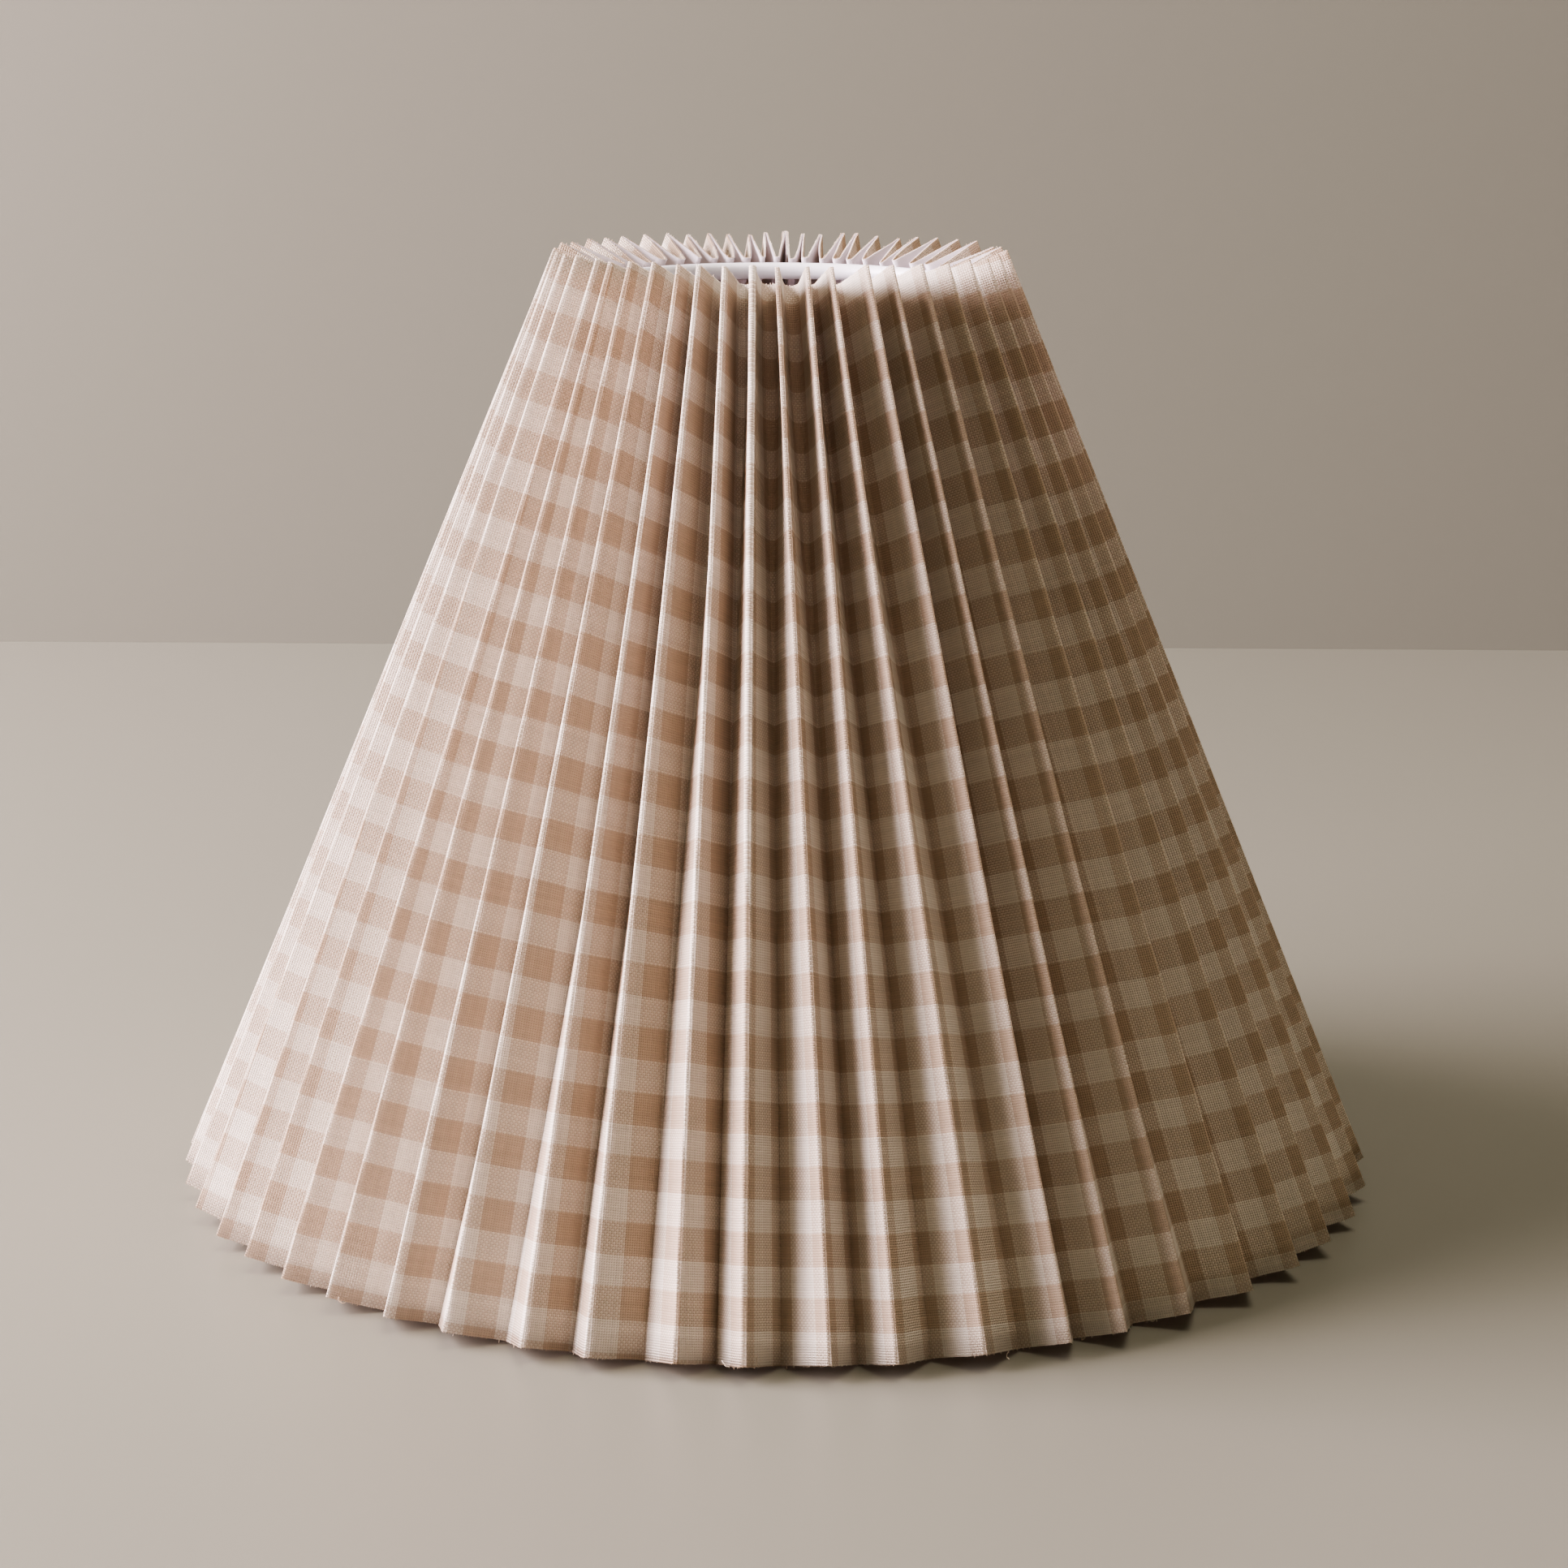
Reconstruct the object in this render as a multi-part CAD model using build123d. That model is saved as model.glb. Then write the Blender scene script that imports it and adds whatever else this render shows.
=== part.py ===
from build123d import *
import math
import os

# A cone-shaped pleated lamp shade with an E27 fitter. Millimetres and degrees. +Z is up, the front
# is -Y, and the origin is on the shade's axis at the height of its lowest corners, where it stands.
# A "turn" is an angle about the axis, counted from the front towards +X.

# Pleated laminate: cotton fabric bonded to a clear-coated white film, then folded.
base_diameter = 300.0  # across the outer folds at the hem
top_diameter = 110.0  # across the outer folds at the top edge
strip_width = 247.2  # length of each fold, from the top edge to the hem
panel_width = 14.0  # along the sheet, from an outer fold to the next inner fold
pleat_count = 50  # outer folds round the whole shade
fold_nose = 1.2  # flat width of a folded edge, at the bond line
fabric_thickness = 0.3
film_thickness = 0.3
fold_spans = 4  # steps along a fold that follow a panel's gentle twist

# The laminate comes as equal strips, lapped over each other at an outer fold and glued.
strip_names = ["a", "b"]
first_seam_turn = -4.6
lap_past_fold = 1.4  # how far the upper strip's cut end reaches past the seam's fold
lap_start = 0.15  # where the lower strip begins, as a share of the panel before that fold
lap_step = 0.10  # where the upper strip has stepped up over it

# Wire rings, glued to the film's inner folds.
ring_wire_diameter = 4.2
glue_line = 0.05  # between a ring and the folds
top_ring_below_folds = 3.2  # from the inner folds' top corners down to the ring's centre
bottom_ring_above_folds = 14.0  # from the inner folds' hem corners up to the ring's centre

# Fitter: a pressed steel ring for an E27 lampholder, carried by three wire arms.
fitter_bore_diameter = 42.0
fitter_seat_width = 9.0  # from the bore to the outside of the rim
fitter_sheet = 1.5
fitter_rim_height = 6.0
fitter_bend_radius = 1.0  # inside the rim's root
fitter_drop = 25.0  # from the top ring's centre down to the fitter's seat
arm_count = 3
arm_wire_diameter = 3.2
arm_lead_in = 5.0  # level run from the top ring's centre line
arm_lead_out = 4.0  # level run up to the rim
arm_bend_radius = 3.0

base_radius = base_diameter / 2
top_radius = top_diameter / 2
pitch = 360.0 / pleat_count
laminate_thickness = fabric_thickness + film_thickness
ring_wire_radius = ring_wire_diameter / 2
arm_wire_radius = arm_wire_diameter / 2

# The outer folds lie on a cone. The rise is what their length leaves over the change of radius.
fold_rise = math.sqrt(strip_width**2 - (base_radius - top_radius) ** 2)
cone_slope = (base_radius - top_radius) / fold_rise


def inner_fold_setback(outer_radius):
    """How far an inner fold lies inside the outer folds, level, so that a panel is its full width.

    The strip's edges are square to its folds, so an inner fold's end is also lower than an outer
    fold's, by the setback times the cone's slope.
    """
    bow = 1 - math.cos(math.radians(pitch / 2))
    square_term = 1 + cone_slope**2
    linear_term = 2 * outer_radius * bow
    constant_term = linear_term * outer_radius - panel_width**2
    return (linear_term + math.sqrt(linear_term**2 - 4 * square_term * constant_term)) / (2 * square_term)


inner_top_radius = top_radius - inner_fold_setback(top_radius)
inner_base_radius = base_radius - inner_fold_setback(base_radius)
inner_top_height = fold_rise - inner_fold_setback(top_radius) * cone_slope
inner_base_height = -inner_fold_setback(base_radius) * cone_slope
inner_slope = (inner_base_radius - inner_top_radius) / (inner_top_height - inner_base_height)


def point_at(radius, height, turn, sideways):
    """The point at a radius, height and turn, moved sideways along the tangent."""
    across = math.sin(math.radians(turn))
    forward = math.cos(math.radians(turn))
    return Vector(radius * across + sideways * forward, -radius * forward + sideways * across, height)


def straight_line(top_point, hem_point):
    """Evenly spaced points from the top edge to the hem."""
    return [top_point + (hem_point - top_point) * (step / fold_spans) for step in range(fold_spans + 1)]


def outer_fold(turn, side):
    """One edge of an outer fold's nose. The side is -1 or +1, the way that turns count."""
    sideways = side * fold_nose / 2
    return straight_line(point_at(top_radius, fold_rise, turn, sideways), point_at(base_radius, 0, turn, sideways))


def inner_fold(turn, side):
    """One edge of an inner fold's nose."""
    sideways = side * fold_nose / 2
    return straight_line(
        point_at(inner_top_radius, inner_top_height, turn, sideways),
        point_at(inner_base_radius, inner_base_height, turn, sideways),
    )


def part_way(line_a, line_b, share):
    """A line inside a panel, at a share of the way from one fold to the other."""
    return [a + (b - a) * share for a, b in zip(line_a, line_b)]


def before_seam(seam_turn, share):
    """A line on the panel before a seam's fold, at a share of the way from the inner fold."""
    return part_way(inner_fold(seam_turn - pitch / 2, 1), outer_fold(seam_turn, -1), share)


def past_seam(seam_turn):
    """The line just past a seam's fold, where the upper strip is cut."""
    share = lap_past_fold / (panel_width - fold_nose)
    return part_way(outer_fold(seam_turn, 1), inner_fold(seam_turn + pitch / 2, -1), share)


def strip_lines(seam_turn):
    """The lines that shape one strip, in order, each with how far it is lifted off its place.

    The strip starts under the other one, on the panel before the first seam's fold, and ends lapped
    over it, just past the second seam's fold, a whole laminate further out.
    """
    strip_pleats = pleat_count // len(strip_names)
    flat = [before_seam(seam_turn, lap_start)]
    flat += [outer_fold(seam_turn, side) for side in (-1, 1)]
    flat += [past_seam(seam_turn)]
    for pleat in range(strip_pleats):
        turn = seam_turn + pleat * pitch
        if pleat > 0:
            flat += [outer_fold(turn, side) for side in (-1, 1)]
        flat += [inner_fold(turn + pitch / 2, side) for side in (-1, 1)]
    last_turn = seam_turn + strip_pleats * pitch
    lifted = [before_seam(last_turn, share) for share in (lap_step, lap_start)]
    lifted += [outer_fold(last_turn, side) for side in (-1, 1)]
    lifted += [past_seam(last_turn)]
    return [(line, 0) for line in flat] + [(line, laminate_thickness) for line in lifted]


def mitre(lines, index, step):
    """How far and which way a line's point moves for each millimetre of offset, outwards."""
    line = lines[index][0]
    along = line[-1] - line[0]
    normals = []
    if index > 0:
        normals.append(along.cross(line[step] - lines[index - 1][0][step]).normalized())
    if index < len(lines) - 1:
        normals.append(along.cross(lines[index + 1][0][step] - line[step]).normalized())
    return (normals[0] + normals[-1]) / (1 + normals[0].dot(normals[-1]))


def triangle(a, b, c):
    """A flat three-cornered face."""
    return Face(Wire.make_polygon([a, b, c], close=True))


def quad(a, b, c, d):
    """Two flat faces that fill a four-sided patch."""
    return [triangle(a, b, c), triangle(a, c, d)]


def pleated_layer(lines, inside, outside):
    """A closed layer of the folded sheet, between two offsets from the bond line."""
    steps = range(fold_spans + 1)
    indices = range(len(lines))
    turns = [[mitre(lines, index, step) for step in steps] for index in indices]

    def surface(offset):
        return [
            [lines[index][0][step] + turns[index][step] * (lines[index][1] + offset) for step in steps]
            for index in indices
        ]

    inner = surface(inside)
    outer = surface(outside)
    faces = []
    for a in indices[:-1]:
        b = a + 1
        for top in steps[:-1]:
            low = top + 1
            faces += quad(outer[a][top], outer[a][low], outer[b][low], outer[b][top])
            faces += quad(inner[a][top], inner[b][top], inner[b][low], inner[a][low])
        faces += quad(inner[a][0], outer[a][0], outer[b][0], inner[b][0])
        faces += quad(outer[a][-1], inner[a][-1], inner[b][-1], outer[b][-1])
    for top in steps[:-1]:
        low = top + 1
        faces += quad(inner[0][top], inner[0][low], outer[0][low], outer[0][top])
        faces += quad(outer[-1][top], outer[-1][low], inner[-1][low], inner[-1][top])
    return Solid(Shell(faces))


def wire_ring(height):
    """A round ring of wire that lies against the film on every inner fold at this height."""
    fold_radius = inner_base_radius - (height - inner_base_height) * inner_slope
    to_centre = film_thickness + glue_line + ring_wire_radius
    ring_radius = fold_radius - to_centre * math.sqrt(1 + inner_slope**2)
    return Pos(0, 0, height) * Torus(ring_radius, ring_wire_radius), ring_radius


def fitter_ring(seat_height):
    """The pressed ring: a flat seat round the bore, with a rim turned up at its outside."""
    bore_radius = fitter_bore_diameter / 2
    rim_radius = bore_radius + fitter_seat_width
    rim_inside = rim_radius - fitter_sheet
    underside = seat_height - fitter_sheet
    rim_top = underside + fitter_rim_height
    with BuildPart() as ring:
        with BuildSketch(Plane.XZ):
            with BuildLine():
                Polyline(
                    (bore_radius, underside),
                    (rim_radius, underside),
                    (rim_radius, rim_top),
                    (rim_inside, rim_top),
                    (rim_inside, seat_height),
                    (bore_radius, seat_height),
                    close=True,
                )
            section = make_face()
            root_outside = section.vertices().filter_by_position(Axis.X, rim_radius, rim_radius).sort_by(Axis.Z)[0]
            root_inside = section.vertices().filter_by_position(Axis.X, rim_inside, rim_inside).sort_by(Axis.Z)[0]
            fillet(root_outside, fitter_bend_radius + fitter_sheet)
            fillet(root_inside, fitter_bend_radius)
        revolve(axis=Axis.Z)
    return ring.part


def spider_arm(ring_height, ring_radius, seat_height):
    """One bent wire arm in the XZ plane, from the top ring's centre line into the fitter's rim."""
    rim_radius = fitter_bore_diameter / 2 + fitter_seat_width
    foot_height = seat_height - fitter_sheet + fitter_rim_height / 2
    path = FilletPolyline(
        (ring_radius, 0, ring_height),
        (ring_radius - arm_lead_in, 0, ring_height),
        (rim_radius + arm_lead_out, 0, foot_height),
        (rim_radius - fitter_sheet / 2, 0, foot_height),
        radius=arm_bend_radius,
    )
    return sweep(Plane(path @ 0, z_dir=path % 0) * Circle(arm_wire_radius), path)


pieces = {}
for number, name in enumerate(strip_names):
    lines = strip_lines(first_seam_turn + number * 360 / len(strip_names))
    pieces["cover_strip_" + name] = pleated_layer(lines, 0, fabric_thickness)
    pieces["liner_strip_" + name] = pleated_layer(lines, -film_thickness, 0)

top_ring_height = inner_top_height - top_ring_below_folds
pieces["top_ring"], top_ring_radius = wire_ring(top_ring_height)
pieces["bottom_ring"], bottom_ring_radius = wire_ring(inner_base_height + bottom_ring_above_folds)

seat_height = top_ring_height - fitter_drop
pieces["fitter_ring"] = fitter_ring(seat_height)
front_arm = spider_arm(top_ring_height, top_ring_radius, seat_height)
for number in range(arm_count):
    arm = Rot(0, 0, -90 + number * 360 / arm_count) * front_arm
    pieces[f"spider_arm_{number + 1}"] = arm - pieces["top_ring"] - pieces["fitter_ring"]

# The shade stands on the corners of its inner folds.
floor_height = min(piece.bounding_box().min.Z for piece in pieces.values())

os.makedirs("parts", exist_ok=True)
for name, piece in pieces.items():
    export_step(Pos(0, 0, -floor_height) * piece, f"parts/{name}.step")
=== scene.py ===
"""A pleated gingham lamp shade: folded cotton on white film, cut thread ends, wirework and a studio.

Lengths are metres, unless a name ends in _mm. A turn is an angle about the shade's axis, in degrees,
counted from the front (-Y) towards +X. Folds are numbered from the front seam the way turns count:
an even number is an outer fold and an odd number an inner one.
"""

import logging
import math
from collections.abc import Sequence
from dataclasses import dataclass, field
from enum import Enum

import bpy
import numpy as np
from mathutils import Matrix, Vector

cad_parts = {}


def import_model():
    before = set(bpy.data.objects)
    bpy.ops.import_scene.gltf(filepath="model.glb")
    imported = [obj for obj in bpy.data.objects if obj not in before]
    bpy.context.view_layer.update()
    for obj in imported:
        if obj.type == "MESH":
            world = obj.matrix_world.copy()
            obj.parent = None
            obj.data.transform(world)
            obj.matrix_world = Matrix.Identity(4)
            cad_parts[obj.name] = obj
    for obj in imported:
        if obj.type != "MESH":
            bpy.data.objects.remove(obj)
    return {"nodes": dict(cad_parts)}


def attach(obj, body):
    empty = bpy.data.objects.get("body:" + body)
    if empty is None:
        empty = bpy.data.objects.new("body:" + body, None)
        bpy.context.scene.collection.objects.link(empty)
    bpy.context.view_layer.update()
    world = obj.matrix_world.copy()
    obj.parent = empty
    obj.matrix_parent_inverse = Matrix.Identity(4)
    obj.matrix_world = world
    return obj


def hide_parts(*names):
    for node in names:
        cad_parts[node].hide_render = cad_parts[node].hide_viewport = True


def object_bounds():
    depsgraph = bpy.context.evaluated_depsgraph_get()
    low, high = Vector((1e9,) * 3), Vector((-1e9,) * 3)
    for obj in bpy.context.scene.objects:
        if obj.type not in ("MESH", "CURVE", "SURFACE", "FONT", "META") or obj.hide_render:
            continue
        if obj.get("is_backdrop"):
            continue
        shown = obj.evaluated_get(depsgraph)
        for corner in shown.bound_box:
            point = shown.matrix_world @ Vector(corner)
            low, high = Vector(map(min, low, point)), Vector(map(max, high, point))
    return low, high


LOG = logging.getLogger("lamp_shade")
MM = 0.001


# ---------------------------------------------------------------- small helpers


def linear(colour: str) -> tuple[float, float, float, float]:
    """Turns an sRGB hex colour to linear light.

    Args:
        colour: six hex digits after a #.

    Returns:
        Red, green, blue and an alpha of 1.
    """
    parts = [int(colour[i : i + 2], 16) / 255 for i in (1, 3, 5)]
    red, green, blue = (c / 12.92 if c <= 0.04045 else ((c + 0.055) / 1.055) ** 2.4 for c in parts)
    return red, green, blue, 1.0


def repeats(size_mm: float) -> float:
    """How many times a pattern of that size repeats in a metre."""
    return 1 / (size_mm * MM)


def add_node(tree: bpy.types.NodeTree, kind: str, feeds: dict | None = None, **settings) -> bpy.types.Node:
    """Adds a shader node with its settings and what feeds it.

    Args:
        tree: the material's or world's node tree.
        kind: the node's type name.
        feeds: for each input, by name or number, a constant or the output socket linked to it.
        settings: the node's own properties.

    Returns:
        The new node.
    """
    node = tree.nodes.new(kind)
    for name, value in settings.items():
        setattr(node, name, value)
    for key, value in (feeds or {}).items():
        if isinstance(value, bpy.types.NodeSocket):
            tree.links.new(value, node.inputs[key])
        else:
            node.inputs[key].default_value = value
    return node


def glowing_sheet(
    tree: bpy.types.NodeTree,
    face: bpy.types.NodeSocket,
    tint: bpy.types.NodeSocket,
    passing: float,
    normal: bpy.types.NodeSocket,
) -> None:
    """Lets part of the light through a thin sheet, as shade-maker's laminate does.

    Light that enters the sheet is scattered once, at the face where it enters, and leaves freely.

    Args:
        tree: the material's nodes.
        face: the shader of the sheet's face.
        tint: what colour the light takes on inside.
        passing: the share of light that goes through.
        normal: the bumped normal.
    """
    through = add_node(tree, "ShaderNodeBsdfTranslucent", {"Color": tint, "Normal": normal})
    sheet = add_node(tree, "ShaderNodeMixShader", {0: passing, 1: face, 2: through.outputs[0]})
    leaving = add_node(tree, "ShaderNodeBsdfTransparent")
    inside = add_node(tree, "ShaderNodeNewGeometry").outputs["Backfacing"]
    shown = add_node(
        tree, "ShaderNodeMixShader", {0: inside, 1: sheet.outputs[0], 2: leaving.outputs[0]}
    )
    add_node(tree, "ShaderNodeOutputMaterial", {"Surface": shown.outputs[0]})


def fresh_material(name: str) -> bpy.types.Material:
    """Makes an empty node material of that name."""
    material = bpy.data.materials.new(name)
    material.use_nodes = True
    material.node_tree.nodes.clear()
    return material


def mesh_object(
    name: str, points: np.ndarray, faces: np.ndarray, flat_from: int | None = None
) -> bpy.types.Object:
    """Makes a smooth mesh object out of four-cornered faces.

    Args:
        name: the piece's name.
        points: its corners, one row each.
        faces: four point numbers a row, turning left as seen from outside.
        flat_from: the first face that is shaded flat, such as a cut edge.

    Returns:
        The object, linked to the scene.
    """
    mesh = bpy.data.meshes.new(name)
    mesh.vertices.add(len(points))
    mesh.vertices.foreach_set("co", np.ascontiguousarray(points, dtype=np.float32).ravel())
    mesh.loops.add(faces.size)
    mesh.loops.foreach_set("vertex_index", faces.astype(np.int32).ravel())
    mesh.polygons.add(len(faces))
    mesh.polygons.foreach_set("loop_start", np.arange(0, faces.size, 4, dtype=np.int32))
    smooth = np.ones(len(faces), dtype=bool)
    if flat_from is not None:
        smooth[flat_from:] = False
    mesh.polygons.foreach_set("use_smooth", smooth)
    mesh.update(calc_edges=True)
    mesh.validate()
    piece = bpy.data.objects.new(name, mesh)
    bpy.context.scene.collection.objects.link(piece)
    return piece


def mark_cloth(piece: bpy.types.Object, places: np.ndarray) -> None:
    """Gives each corner of a mesh its place on the flat cloth.

    Args:
        piece: the mesh's object.
        places: across and down the cloth, one row for each point.
    """
    layer = piece.data.uv_layers.new(name="cloth")
    corners = np.empty(len(piece.data.loops), dtype=np.int32)
    piece.data.loops.foreach_get("vertex_index", corners)
    layer.data.foreach_set("uv", places[corners].astype(np.float32).ravel())


# ---------------------------------------------------------------- finishes


@dataclass(frozen=True)
class GinghamCotton:
    """Plain-woven cotton, dyed in the yarn and checked beige and off-white.

    Single yarns cross over and under one by one, so the eye sees three tones, with a speckle of
    both colours where beige crosses white, painted shade in the pinholes between yarns, and a dry, soft
    face.
    """

    white_yarn: str = "#FAF2E5"
    beige_yarn: str = "#D7C3AD"
    # Painted shade: the colour that the gaps between yarns are darkened towards.
    gap_shade_colour: str = "#96806C"
    yarn_spacing_mm: float = 0.56
    check_mm: float = 7.15
    yarn_relief_mm: float = 0.10
    roughness: float = 0.85
    specular: float = 0.28
    sheen: float = 0.12
    passing: float = 0.33
    # How much of the yarn beneath shows through the one on top.
    blend: float = 0.34
    yarn_shade: tuple[float, float] = (0.90, 1.10)
    # Yarns lie in bands of lighter and darker spinning, about three yarns wide.
    band_yarns: float = 3.226
    wander_mm: float = 0.25
    wander_length_mm: float = 11.1
    # Painted shade in the gaps between yarns: the weave heights it spans, and how dark it gets at most.
    gap_shade_from: float = 0.18
    gap_shade_to: float = 0.62
    gap_shade_depth: float = 0.75
    mottle: tuple[float, float] = (0.95, 1.05)
    mottle_mm: float = 28.6
    fibre_mm: float = 0.167
    fibre_share: float = 0.35

    def stripe(self, tree: bpy.types.NodeTree, yarn: bpy.types.NodeSocket) -> bpy.types.NodeSocket:
        """Says which yarns of one direction are beige.

        Args:
            tree: the material's nodes.
            yarn: the number of the yarn, counted across the cloth.

        Returns:
            1 on a beige yarn and 0 on a white one.
        """
        turns = add_node(
            tree,
            "ShaderNodeMath",
            {0: yarn, 1: self.yarn_spacing_mm / (2 * self.check_mm), 2: 0.25},
            operation="MULTIPLY_ADD",
        ).outputs[0]
        part = add_node(tree, "ShaderNodeMath", {0: turns}, operation="FRACT").outputs[0]
        return add_node(tree, "ShaderNodeMath", {0: part, 1: 0.5}, operation="GREATER_THAN").outputs[0]

    def yarn_colour(
        self, tree: bpy.types.NodeTree, yarn: bpy.types.NodeSocket, seed: float
    ) -> bpy.types.NodeSocket:
        """Colours one direction's yarns, each a little lighter or darker than the next.

        Args:
            tree: the material's nodes.
            yarn: the number of the yarn, counted across the cloth.
            seed: keeps warp and weft from varying alike.

        Returns:
            The yarn's colour.
        """
        dyed = add_node(
            tree,
            "ShaderNodeMixRGB",
            {0: self.stripe(tree, yarn), 1: linear(self.white_yarn), 2: linear(self.beige_yarn)},
        )
        shifted = add_node(tree, "ShaderNodeMath", {0: yarn, 1: seed}, operation="ADD").outputs[0]
        chance = add_node(tree, "ShaderNodeTexWhiteNoise", {"W": shifted}, noise_dimensions="1D").outputs[0]
        band = add_node(
            tree,
            "ShaderNodeTexNoise",
            {"W": shifted, "Scale": 1 / self.band_yarns, "Detail": 0.0},
            noise_dimensions="1D",
        ).outputs[0]
        uneven = add_node(tree, "ShaderNodeMath", {0: chance, 1: band}, operation="ADD").outputs[0]
        least, most = self.yarn_shade
        shade = add_node(
            tree, "ShaderNodeMapRange", {"Value": uneven, "From Max": 2.0, "To Min": least, "To Max": most}
        ).outputs[0]
        return add_node(
            tree, "ShaderNodeVectorMath", {0: dyed.outputs[0], 1: shade}, operation="MULTIPLY"
        ).outputs[0]

    def material(self) -> bpy.types.Material:
        """Builds the woven cloth from its own cloth coordinates.

        Returns:
            The material. It reads the "cloth" UV map, in metres along and across the yarns.
        """
        material = fresh_material("woven_gingham_cotton")
        tree = material.node_tree
        cloth = add_node(tree, "ShaderNodeUVMap", uv_map="cloth").outputs[0]
        # Yarns wander a little to either side, over a centimetre or so.
        wander = add_node(
            tree,
            "ShaderNodeTexNoise",
            {"Vector": cloth, "Scale": repeats(self.wander_length_mm), "Detail": 2.0},
        ).outputs[1]
        sway = self.wander_mm * MM
        drift = add_node(
            tree,
            "ShaderNodeVectorMath",
            {0: wander, 1: (sway, sway, 0.0), 2: cloth},
            operation="MULTIPLY_ADD",
        ).outputs[0]
        counts = add_node(
            tree,
            "ShaderNodeVectorMath",
            {0: drift, "Scale": repeats(self.yarn_spacing_mm)},
            operation="SCALE",
        ).outputs[0]
        split = add_node(tree, "ShaderNodeSeparateXYZ", {0: counts})
        waves = []
        colours = []
        for number in (0, 1):
            turn = add_node(
                tree, "ShaderNodeMath", {0: split.outputs[number], 1: math.pi}, operation="MULTIPLY"
            ).outputs[0]
            waves.append(add_node(tree, "ShaderNodeMath", {0: turn}, operation="SINE").outputs[0])
            place = split.outputs[number]
            yarn = add_node(tree, "ShaderNodeMath", {0: place}, operation="FLOOR").outputs[0]
            colours.append(self.yarn_colour(tree, yarn, 1000.0 * number))
        # The product's sign says which yarn is on top, as on a chessboard.
        crossing = add_node(
            tree, "ShaderNodeMath", {0: waves[0], 1: waves[1]}, operation="MULTIPLY"
        ).outputs[0]
        across = [
            add_node(tree, "ShaderNodeMath", {0: wave}, operation="ABSOLUTE").outputs[0] for wave in waves
        ]
        warp = add_node(tree, "ShaderNodeMath", {0: across[0], 1: crossing}, operation="ADD").outputs[0]
        weft = add_node(
            tree, "ShaderNodeMath", {0: across[1], 1: crossing}, operation="SUBTRACT"
        ).outputs[0]
        height = add_node(tree, "ShaderNodeMath", {0: warp, 1: weft}, operation="MAXIMUM").outputs[0]
        # Cotton yarns let the ones beneath show through, which softens the speckle.
        warp_on_top = add_node(
            tree,
            "ShaderNodeMapRange",
            {
                "Value": crossing,
                "From Min": -0.2,
                "From Max": 0.2,
                "To Min": self.blend,
                "To Max": 1 - self.blend,
            },
        ).outputs[0]
        woven = add_node(
            tree, "ShaderNodeMixRGB", {0: warp_on_top, 1: colours[1], 2: colours[0]}
        ).outputs[0]
        # Painted shade: where the weave is lowest, between the yarns, the colour is darkened towards the gap
        # shade colour.
        gap_shade = add_node(
            tree,
            "ShaderNodeMapRange",
            {
                "Value": height,
                "From Min": self.gap_shade_from,
                "From Max": self.gap_shade_to,
                "To Min": self.gap_shade_depth,
                "To Max": 0.0,
            },
        ).outputs[0]
        gap_shaded = add_node(tree, "ShaderNodeMixRGB", {0: gap_shade, 1: woven, 2: linear(self.gap_shade_colour)}).outputs[0]
        # Washed cotton is mottled by a few per cent over some centimetres.
        cloud = add_node(
            tree, "ShaderNodeTexNoise", {"Vector": cloth, "Scale": repeats(self.mottle_mm), "Detail": 3.0}
        ).outputs[0]
        pale, full = self.mottle
        tone = add_node(
            tree, "ShaderNodeMapRange", {"Value": cloud, "To Min": pale, "To Max": full}
        ).outputs[0]
        colour = add_node(tree, "ShaderNodeVectorMath", {0: gap_shaded, 1: tone}, operation="MULTIPLY").outputs[0]
        # Fibres stand out of the yarns: a finer grain on top of the weave's relief.
        fibre = add_node(
            tree, "ShaderNodeTexNoise", {"Vector": cloth, "Scale": repeats(self.fibre_mm), "Detail": 1.0}
        ).outputs[0]
        relief = add_node(
            tree, "ShaderNodeMath", {0: fibre, 1: self.fibre_share, 2: height}, operation="MULTIPLY_ADD"
        ).outputs[0]
        bump = add_node(
            tree,
            "ShaderNodeBump",
            {"Strength": 1.0, "Distance": self.yarn_relief_mm * MM, "Height": relief},
        ).outputs[0]
        surface = add_node(
            tree,
            "ShaderNodeBsdfPrincipled",
            {
                "Base Color": colour,
                "Roughness": self.roughness,
                "Specular IOR Level": self.specular,
                "Sheen Weight": self.sheen,
                "Sheen Roughness": 0.5,
                "Normal": bump,
            },
        )
        glowing_sheet(tree, surface.outputs[0], colour, self.passing, bump)
        return material


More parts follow.
